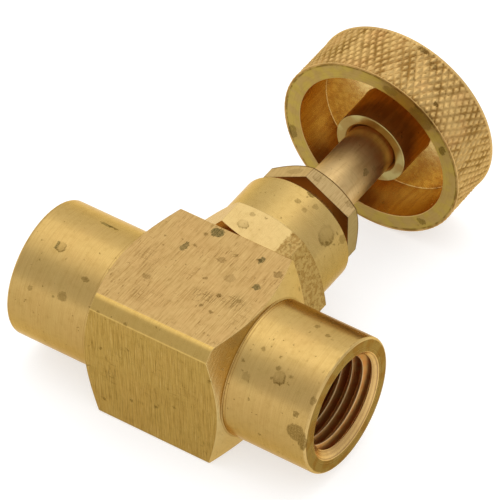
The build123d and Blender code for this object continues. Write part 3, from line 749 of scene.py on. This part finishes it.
def handwheel_brass():
    """Worn knurl, darker in its grooves, olive rim face, orange recess and brown sleeve round the stem."""
    s = Shader("handwheel_brass")
    rim_y, floor_y = RIM_Y / MM, RIM_Y / MM + WHEEL_RECESS_DEPTH
    from_stem = s.vector("LENGTH", s.join(s.x, 0.0, s.z))
    knurl = s.step(from_stem, KNURL_FLOOR_R, KNURL_FLOOR_R + 0.04)
    face = s.step(from_stem, KNURL_FLOOR_R + 0.04, KNURL_FLOOR_R)
    face = s.times(face, s.step(s.y, rim_y + 0.12, rim_y + 0.05))
    face = s.times(face, s.step(from_stem, WHEEL_RECESS_R + 0.02, WHEEL_RECESS_R + 0.12))
    within = s.between(from_stem, WHEEL_HUB_R + 0.05, WHEEL_RECESS_R + 0.08, 0.06)
    within = s.times(within, s.between(s.y, rim_y + 0.15, floor_y + 0.1, 0.1))
    sleeve = s.times(s.step(s.y, rim_y + 0.05, rim_y + 0.2), s.step(s.y, floor_y, floor_y - 0.15))
    sleeve = s.times(sleeve, s.between(from_stem, WHEEL_HUB_R - 0.1, WHEEL_HUB_R + 0.04, 0.05))
    sleeve_end = s.step(from_stem, WHEEL_HUB_R + 0.05, WHEEL_HUB_R - 0.05)
    sleeve_end = s.times(sleeve_end, s.step(s.y, rim_y + 0.05, rim_y))
    rings = s.noise(5.0, 3.0, s.join(from_stem, 0.0, 0.0))
    streak = s.noise((1.6, 0.25, 1.6), 4.0)
    colour = s.mix(knurl, GOLD, KNURL_GOLD)
    # the knurl is darker deeper in its grooves, in patches
    groove = s.step(from_stem, WHEEL_R / MM - 0.06, WHEEL_R / MM - 0.21)
    patchy = s.step(s.noise((0.5, 0.35, 0.5), 3.0), 0.38, 0.62, 0.35, 1.0)
    colour = s.darken(colour, s.all_of(knurl, groove, patchy), KNURL_GROOVE_TINT)
    ruddy = s.all_of(knurl, s.step(s.noise(0.3, 3.0), 0.52, 0.68))
    colour = s.mix(s.times(ruddy, 0.35), colour, KNURL_RUDDY)
    olive = s.mix(s.step(s.noise(0.7, 3.0), 0.4, 0.6), RIM_OLIVE, RIM_BROWN)
    colour = s.mix(face, colour, olive)
    colour = s.darken(colour, s.times(face, s.step(rings, 0.5, 0.75, 0, 0.4)), LINE_TINT)
    broken = s.step(s.noise((1.2, 1.0, 1.2), 3.0), 0.4, 0.6, 0.2, 0.9)
    outline = s.all_of(face, s.step(from_stem, KNURL_FLOOR_R - 0.25, KNURL_FLOOR_R - 0.1), broken)
    colour = s.darken(colour, outline, RIM_DIRT_TINT)
    orange = s.mix(s.step(streak, 0.38, 0.62), RECESS_ORANGE, RECESS_GOLD)
    colour = s.mix(within, colour, orange)
    colour = s.mix(sleeve, colour, s.mix(s.step(streak, 0.4, 0.65), SLEEVE_BROWN, SLEEVE_RUST))
    cream = s.mix(s.step(s.noise(0.45, 2.0), 0.42, 0.6), SLEEVE_CREAM, SLEEVE_OLIVE)
    colour = s.mix(sleeve_end, colour, cream)
    rough = s.blend(knurl, 0.3, 0.36)
    rough = s.minus(rough, s.times(within, 0.06))
    grain = s.times(s.noise(3.5, 3.0), knurl)
    height = s.plus(s.times(rings, 0.5), s.times(grain, 1.6))
    return worn(s, colour, rough, height, 0.012, WHEEL_MARKS, 0.35, 0.06)


def steel(name, colour, rough):
    """Turned steel with faint rings and a little rust brown in the mottling."""
    s = Shader(name)
    turned = s.noise((0.5, 12.0, 0.5), 3.0)
    mottle = s.noise(1.2, 4.0)
    shade = s.darken(colour, s.step(turned, 0.45, 0.75, 0, 0.3), (0.8, 0.79, 0.77))
    shade = s.darken(shade, s.step(mottle, 0.55, 0.8, 0, 0.5), (0.62, 0.52, 0.42))
    rough = s.plus(rough, s.times(s.minus(mottle, 0.5), 0.12))
    soft_edge = s.node("ShaderNodeBevel", {"Radius": 0.05 * MM}, samples=6).outputs[0]
    s.set(Base_Color=shade, Metallic=1.0, Roughness=rough, Normal=s.bump(turned, 0.006, soft_edge))
    return s.material


def fibre(name, colour, rough):
    """Dark pressed fibre with a fine felted grain."""
    s = Shader(name)
    felt = s.noise((4.0, 9.0, 4.0), 4.0)
    shade = s.mix(s.step(felt, 0.35, 0.65), colour, tuple(1.7 * c for c in colour))
    s.set(Base_Color=shade, Roughness=s.plus(rough, s.times(felt, 0.1)), Normal=s.bump(felt, 0.03))
    return s.material


def paint(node, material):
    """Give a CAD node or piece one material."""
    piece = NODES[node] if isinstance(node, str) else node
    if not piece.material_slots:
        piece.data.materials.append(material)
    for slot in piece.material_slots:
        slot.link = "OBJECT"
        slot.material = material


# ---------------------------------------------------------------- build

wheel = make_handwheel()
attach(wheel, "spindle")
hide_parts("handwheel")

PACKING = ("packing_ring_lower", "packing_ring_middle", "packing_ring_upper")
for material, names in (
    (body_brass(), ("valve_body",)),
    (bonnet_brass(), ("bonnet",)),
    (gland_brass(), ("gland_nut", "gland_follower", "packing_washer")),
    (stem_brass(), ("stem",)),
    (handwheel_brass(), (wheel,)),
    (fibre("gasket", (0.16, 0.08, 0.045), 0.75), ("bonnet_gasket",)),
    (fibre("packing", (0.10, 0.095, 0.085), 0.55), PACKING),
    (steel("needle_steel", (0.62, 0.60, 0.57), 0.22), ("needle_tip",)),
    (steel("spring_steel", (0.36, 0.34, 0.31), 0.35), ("tip_retaining_ring", "lock_washer")),
    (steel("screw_steel", (0.58, 0.56, 0.52), 0.3), ("handwheel_screw",)),
):
    for name in names:
        paint(name, material)


# ---------------------------------------------------------------- stage, light and camera

def add_stage():
    """Pale floor that touches the body's lower front edge and the handwheel's rim."""
    front = Vector((0, BODY_LOW.y, BODY_LOW.z))
    rim = Vector((0, RIM_Y, -WHEEL_R))
    along = (rim - front).normalized()
    side = Vector((1, 0, 0))
    up = side.cross(along)
    size = 1.5
    bm = bmesh.new()
    reach = ((-size, -size), (size, -size), (size, size), (-size, size))
    corners = [front + side * a + along * b - up * FLOOR_GAP for a, b in reach]
    bm.faces.new([bm.verts.new(c) for c in corners])
    floor = new_object("floor", bm)
    s = Shader("floor_card")
    s.set(Base_Color=(0.56, 0.56, 0.56), Roughness=0.9)
    s.set(Emission_Color=(1.0, 1.0, 1.0), Emission_Strength=0.57)
    paint(floor, s.material)


def add_light(name, direction, distance, size, power):
    """Square softbox that faces the valve from the given direction."""
    light = bpy.data.lights.new(name, "AREA")
    light.shape = "RECTANGLE"
    light.size, light.size_y = size
    light.energy = power
    lamp = bpy.data.objects.new(name, light)
    direction = Vector(direction).normalized()
    lamp.location = (WHEEL_HIGH + BODY_LOW) / 2 + direction * distance
    lamp.rotation_mode = "QUATERNION"
    lamp.rotation_quaternion = direction.to_track_quat("Z", "Y")
    scene.collection.objects.link(lamp)


def add_world():
    """Soft white surround: an even level with broad brighter and darker patches."""
    world = bpy.data.worlds.new("studio")
    world.use_nodes = True
    tree = world.node_tree
    direction = tree.nodes.new("ShaderNodeTexCoord").outputs["Generated"]
    level = None
    for toward, inner, outer, change in SURROUND:
        dot = tree.nodes.new("ShaderNodeVectorMath")
        dot.operation = "DOT_PRODUCT"
        tree.links.new(direction, dot.inputs[0])
        dot.inputs[1].default_value = Vector(toward).normalized()
        patch = tree.nodes.new("ShaderNodeMapRange")
        patch.interpolation_type = "SMOOTHSTEP"
        tree.links.new(dot.outputs["Value"], patch.inputs["Value"])
        patch.inputs["From Min"].default_value = cos(radians(outer))
        patch.inputs["From Max"].default_value = cos(radians(inner))
        patch.inputs["To Max"].default_value = change
        total = tree.nodes.new("ShaderNodeMath")
        tree.links.new(patch.outputs[0], total.inputs[0])
        if level is None:
            total.inputs[1].default_value = SURROUND_LEVEL
        else:
            tree.links.new(level, total.inputs[1])
        level = total.outputs[0]
    tree.links.new(level, tree.nodes["Background"].inputs[1])
    tree.nodes["Background"].inputs[0].default_value = (1, 1, 1, 1)
    scene.world = world


def add_camera():
    back = Vector((
        sin(CAMERA_AZIMUTH) * cos(CAMERA_ELEVATION),
        -cos(CAMERA_AZIMUTH) * cos(CAMERA_ELEVATION),
        sin(CAMERA_ELEVATION),
    ))
    camera = bpy.data.cameras.new("camera")
    camera.lens = CAMERA_LENS
    camera.clip_start, camera.clip_end = 0.01, 10
    eye = bpy.data.objects.new("camera", camera)
    right = Vector((0, 0, 1)).cross(back).normalized()
    up = back.cross(right)
    turned = Matrix((right, up, back)).transposed() @ Matrix.Rotation(-CAMERA_ROLL, 3, "Z")
    eye.rotation_mode = "QUATERNION"
    eye.rotation_quaternion = turned.to_quaternion()
    eye.location = Vector((0, FLOW_Y, 0)) + turned @ Vector((CAMERA_RIGHT, CAMERA_UP, CAMERA_DISTANCE))
    scene.collection.objects.link(eye)
    scene.camera = eye


add_stage()
add_world()
add_light("overhead", (-0.1, 0.3, 1), 0.6, (0.5, 0.5), 0.35)
add_camera()
scene.view_settings.view_transform = "Standard"
